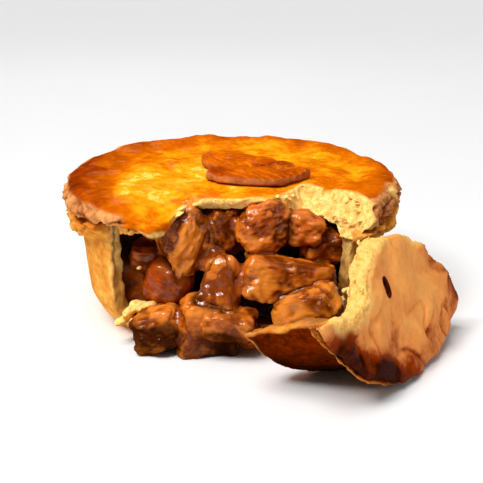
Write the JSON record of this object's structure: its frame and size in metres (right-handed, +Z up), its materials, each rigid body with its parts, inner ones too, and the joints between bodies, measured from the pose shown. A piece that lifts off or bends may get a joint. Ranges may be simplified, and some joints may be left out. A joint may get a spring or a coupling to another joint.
{
  "type": "steak and kidney pie",
  "caption": "Deep round pie with a glazed lid, broken open at the front on meat and kidney in gravy, the torn-off crust leaning beside it.",
  "frame": {"origin": "middle of the pie's flat underside, on the surface that it stands on", "axes": "+Z up along the pie's axis; -Y towards the broken side with the filling; +X to the right seen from that side"},
  "size_m": [0.1351, 0.1558, 0.0546],
  "materials": {
    "glazed_lid": "egg-washed and baked golden, glossy",
    "baked_wall": "baked shortcrust, dry and matte, pale crumb where it is broken",
    "dark_glaze": "egg-washed pastry, baked darker, glossy",
    "pale_crust": "lightly glazed peach-brown pastry, wrinkled, satin",
    "gravy": "set brown gravy, wet and glossy",
    "steak": "braised beef coated in gravy, wet",
    "kidney": "braised kidney coated in gravy, wet"
  },
  "bodies": {
    "root": {"pie_case": "baked_wall", "pie_lid": "glazed_lid", "gravy_filling": "gravy", "steak_front_low": "steak", "steak_front_peak": "steak", "steak_middle_long": "steak", "steak_upper_left": "steak", "steak_upper_mid": "steak", "kidney_upper": "kidney", "steak_upper_right": "steak", "steak_right": "steak", "kidney_left": "kidney", "steak_left_small": "steak", "steak_spilled_left": "steak", "kidney_spilled": "kidney", "steak_by_crust": "steak", "leaf_front": "dark_glaze", "leaf_back": "dark_glaze", "piece_lid": "pale_crust", "piece_wall": "baked_wall"}
  },
  "joints": []
}
